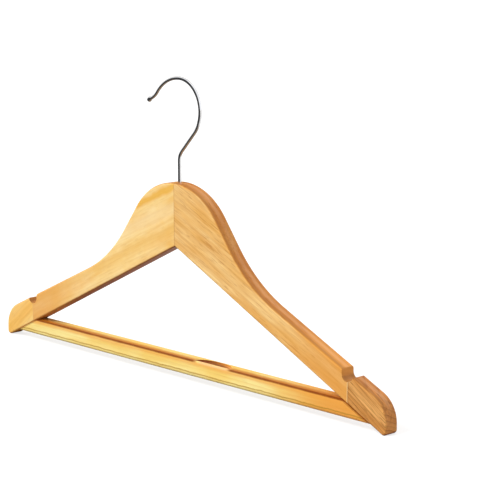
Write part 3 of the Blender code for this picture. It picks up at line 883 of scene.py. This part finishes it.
def buildWireTree():
    tree, given, result = geometryTree("sweptWire", {
        "Path": "Geometry", "Diameter": "Float", "Sides": "Int", "Finish": "Material"})
    radius = mathOf(tree, "DIVIDE", given["Diameter"], 2.0)
    section = addNode(tree, "GeometryNodeCurvePrimitiveCircle",
                      {"Resolution": given["Sides"], "Radius": radius})
    swept = addNode(tree, "GeometryNodeCurveToMesh", {
        "Curve": given["Path"], "Profile Curve": section.outputs[0], "Fill Caps": True})
    return endTree(tree, swept.outputs[0], given["Finish"], result)


wireTree = buildWireTree()


def sweepWire(name, points, diameter, sides, material):
    path = pathObject(name + "Path", points)
    values = {"Diameter": diameter, "Sides": sides, "Finish": material}
    return runTree(path, wireTree, values, name)


def makeHook():
    walk = walkHook()
    wire = sweepWire("hookWire", [(p.x, 0, p.y) for p in walk.points], wireDiameter,
                     hookSizes["wireSides"], chrome)
    smoothen(wire, hookSizes["sharpAngle"])
    dress(wire, chrome, hookBody, "chrome_wire", "hook_wire")
    makeBall(walk)
    makeThread()
    print("hook wire:", len(walk.points), "path points")


ballSizes = {"radius": 0.0022, "grip": 0.0016, "neckRadius": 0.00165, "neckLength": 0.00054,
             "wireGap": 0.00002, "socketRoom": 0.0003, "axisGap": 0.00001, "stepDegrees": 6,
             "sides": 48, "sharpAngle": 40}


def makeBall(walk):
    sizes = ballSizes
    radius, neck, axis = sizes["radius"], sizes["neckRadius"], sizes["axisGap"]
    neckTop = math.sqrt(radius ** 2 - neck ** 2)
    bore = wireDiameter / 2 + sizes["wireGap"]
    rim = arcPoints(Vector((0, 0)), radius, math.atan2(-neckTop, neck), quarterTurn, sizes["stepDegrees"])
    socketEnd = sizes["grip"] - radius + sizes["socketRoom"]
    profile = [(bore, -neckTop - sizes["neckLength"]), (neck, -neckTop),
               *[(max(point.x, axis), point.y) for point in rim[1:]], (axis, socketEnd), (bore, socketEnd)]
    ball = turned("hookBall", profile, sizes["sides"])
    end = walk.points[-1]
    outward = Vector((math.cos(walk.heading), 0, math.sin(walk.heading)))
    middle = Vector((end.x, 0, end.y)) + outward * (radius - sizes["grip"])
    turn = outward.to_track_quat("Z", "Y").to_matrix().to_4x4()
    ball.data.transform(Matrix.Translation(middle) @ turn)
    smoothen(ball, sizes["sharpAngle"])
    dress(ball, chrome, hookBody, "chrome_wire", "hook_tip_ball")


def makeThread():
    sizes = hookSizes
    steps = sizes["threadSteps"]
    ride = wireDiameter / 2 - sizes["threadHeight"] * sizes["threadBite"]
    low = wireLow.z + sizes["threadHeight"]
    points = []
    for i in range(int(sizes["threadLength"] / sizes["threadPitch"] * steps)):
        turn = 2 * math.pi * i / steps
        points.append((ride * math.cos(turn), ride * math.sin(turn), low + sizes["threadPitch"] * i / steps))
    thread = sweepWire("hookThread", points, sizes["threadHeight"], sizes["threadSides"], zinc)
    smoothen(thread, sizes["threadSharpAngle"])
    dress(thread, zinc, hookBody, "zinc_steel")


makeHook()


fasteningSizes = {"washerRadius": 0.0035, "softShare": 0.25, "nutFlats": 0.0055, "chamfer": 0.00035,
                  "chamferReach": 1.8, "hole": 0.00142, "past": 0.0001}


def makeWasher():
    low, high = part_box("hook_washer")
    outer, hole = fasteningSizes["washerRadius"], fasteningSizes["hole"]
    soft = (high.z - low.z) * fasteningSizes["softShare"]
    profile = [(hole, low.z), (outer - soft, low.z), (outer, low.z + soft), (outer, high.z - soft),
               (outer - soft, high.z), (hole, high.z)]
    washer = smoothen(turned("hookWasher", profile))
    dress(washer, zinc, hookBody, "zinc_steel", "hook_washer")


def makeNut():
    low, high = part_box("hook_nut")
    corner = fasteningSizes["nutFlats"] / math.sqrt(3)
    cut, hole = fasteningSizes["chamfer"], fasteningSizes["hole"]
    past = fasteningSizes["past"]
    flats = post("hookNut", corner, low.z, high.z, 6)
    inner = corner - cut * fasteningSizes["chamferReach"]
    profile = [(hole, low.z - past), (inner, low.z - past), (corner + past, low.z + cut),
               (corner + past, high.z - cut), (inner, high.z + past), (hole, high.z + past)]
    rounds = turned("nutRounds", profile)
    combine(flats, [rounds], "INTERSECT")
    nut = smoothen(bakeObject(flats, "hookNut"))
    discard(rounds)
    dress(nut, zinc, hookBody, "zinc_steel", "hook_nut")


makeWasher()
makeNut()
print("fastening: washer and nut")


# Stage, light and camera

stageSizes = {"floorReach": 60.0, "floorDrop": 0.0002, "bounce": 0.36, "seenTone": 0.35,
              "seenGlow": 0.72, "roughness": 0.75, "mottleScale": 3.0, "mottle": 1.02,
              "darkSide": (-31, 0), "darkStart": (-0.10, 0.05), "lightShine": (0.90, 0.88, 0.85, 1),
              "darkShine": (0.05, 0.05, 0.05, 1), "nearShine": (0.24, 0.19, 0.13, 1),
              "nearReach": (0.22, 0.12)}
lightSettings = {
    "key": {"azimuth": -28, "elevation": 42, "spread": 34, "strength": 3.0},
    "top": {"azimuth": 20, "elevation": 82, "spread": 70, "strength": 0.75},
    "fill": {"azimuth": 70, "elevation": 18, "spread": 60, "strength": 0.55},
    "back": {"azimuth": 195, "elevation": 6, "spread": 50, "strength": 1.5},
}
worldSettings = {"fill": 0.5, "shine": 1.6, "bright": 0.9, "dark": 0.05, "darkSide": (-10, 6),
                 "darkStart": (0.45, 0.70), "warmSide": (222, 8), "warmStart": (0.70, 0.95),
                 "warm": (0.36, 0.24, 0.13, 1)}
cameraSettings = {"azimuth": 46.655, "elevation": 10.4674, "distance": 1.41162, "aimRight": 0.05398,
                  "aimHeight": -0.13212, "roll": -0.14, "lens": 130.8935, "sensor": 36.0}


def grey(tone):
    return (tone, tone, tone, 1)


def makeFloor():
    sizes = stageSizes
    shape = bmesh.new()
    bmesh.ops.create_grid(shape, x_segments=2, y_segments=2, size=sizes["floorReach"] / 2)
    lowest = min(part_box(name)[0].z for name in ("left_tip", "right_tip"))
    shape.transform(Matrix.Translation((0, 0, lowest - sizes["floorDrop"])))
    floor = meshFrom("floor", shape)
    material, tree, shader = startMaterial("paleFloor", {
        "Roughness": sizes["roughness"], "Specular IOR Level": 0.0, "Emission Strength": sizes["seenGlow"]})
    place = addNode(tree, "ShaderNodeTexCoord").outputs["Object"]
    tone = mixColour(tree, noise(tree, place, sizes["mottleScale"]), grey(sizes["seenTone"]),
                     grey(sizes["seenTone"] * sizes["mottle"]))
    rays = addNode(tree, "ShaderNodeLightPath").outputs
    toward = vectorOf(tree, "DOT_PRODUCT", place, direction(*sizes["darkSide"]))
    shine = mixColour(tree, ranged(tree, toward, *sizes["darkStart"]), sizes["lightShine"],
                      sizes["darkShine"])
    away = vectorOf(tree, "LENGTH", scaled(tree, place, (1, 1, 0)))
    shine = mixColour(tree, ranged(tree, away, *sizes["nearReach"]), shine, sizes["nearShine"])
    unseen = mixColour(tree, rays["Is Glossy Ray"], grey(sizes["bounce"]), shine)
    tone = mixColour(tree, rays["Is Camera Ray"], unseen, tone)
    glow = mixColour(tree, rays["Is Camera Ray"], grey(0), grey(1))
    connect(tree, shader.inputs, {"Base Color": tone, "Emission Color": glow})
    floor.data.materials.append(material)


def direction(azimuth, elevation):
    a, e = math.radians(azimuth), math.radians(elevation)
    return Vector((math.sin(a) * math.cos(e), -math.cos(a) * math.cos(e), math.sin(e)))


def makeLights():
    middle = Vector((0, 0, (headTop + tipCornerZ) / 2))
    for name, light in lightSettings.items():
        data = bpy.data.lights.new(name, "SUN")
        data.angle = math.radians(light["spread"])
        data.energy = light["strength"]
        lamp = newObject(name, data)
        lamp.visible_glossy = False
        away = direction(light["azimuth"], light["elevation"])
        lamp.location = middle + away
        lamp.rotation_euler = away.to_track_quat("Z", "Y").to_euler()


def makeWorld():
    sizes = worldSettings
    world = bpy.data.worlds.new("studio")
    world.use_nodes = True
    bpy.context.scene.world = world
    tree = world.node_tree
    around = addNode(tree, "ShaderNodeTexCoord").outputs["Generated"]
    rays = addNode(tree, "ShaderNodeLightPath").outputs
    facing = vectorOf(tree, "DOT_PRODUCT", around, direction(*sizes["darkSide"]))
    shade = ranged(tree, facing, *sizes["darkStart"], sizes["bright"], sizes["dark"])
    power = ranged(tree, rays["Is Glossy Ray"], 0.0, 1.0, sizes["fill"], sizes["shine"])
    seen = mathOf(tree, "MAXIMUM", rays["Is Camera Ray"], times(tree, shade, power))
    sky = addNode(tree, "ShaderNodeCombineColor", {0: seen, 1: seen, 2: seen}).outputs[0]
    behind = vectorOf(tree, "DOT_PRODUCT", around, direction(*sizes["warmSide"]))
    warmth = times(tree, ranged(tree, behind, *sizes["warmStart"]), rays["Is Glossy Ray"])
    colour = mixColour(tree, warmth, sky, sizes["warm"])
    tree.links.new(colour, tree.nodes["Background"].inputs["Color"])


def makeCamera():
    sizes = cameraSettings
    a = math.radians(sizes["azimuth"])
    back = direction(sizes["azimuth"], sizes["elevation"])
    right = Vector((math.cos(a), math.sin(a), 0))
    up = back.cross(right)
    roll = math.radians(sizes["roll"])
    tiltedRight = right * math.cos(roll) + up * math.sin(roll)
    tiltedUp = up * math.cos(roll) - right * math.sin(roll)
    aim = right * sizes["aimRight"] + Vector((0, 0, sizes["aimHeight"]))
    data = bpy.data.cameras.new("camera")
    data.lens = sizes["lens"]
    data.sensor_width = sizes["sensor"]
    camera = newObject("camera", data)
    turn = Matrix((tiltedRight, tiltedUp, back)).transposed().to_4x4()
    camera.matrix_world = Matrix.Translation(aim + back * sizes["distance"]) @ turn
    bpy.context.scene.camera = camera


makeFloor()
makeLights()
makeWorld()
makeCamera()
bpy.context.scene.view_settings.view_transform = "Standard"
print("stage, lights and camera")
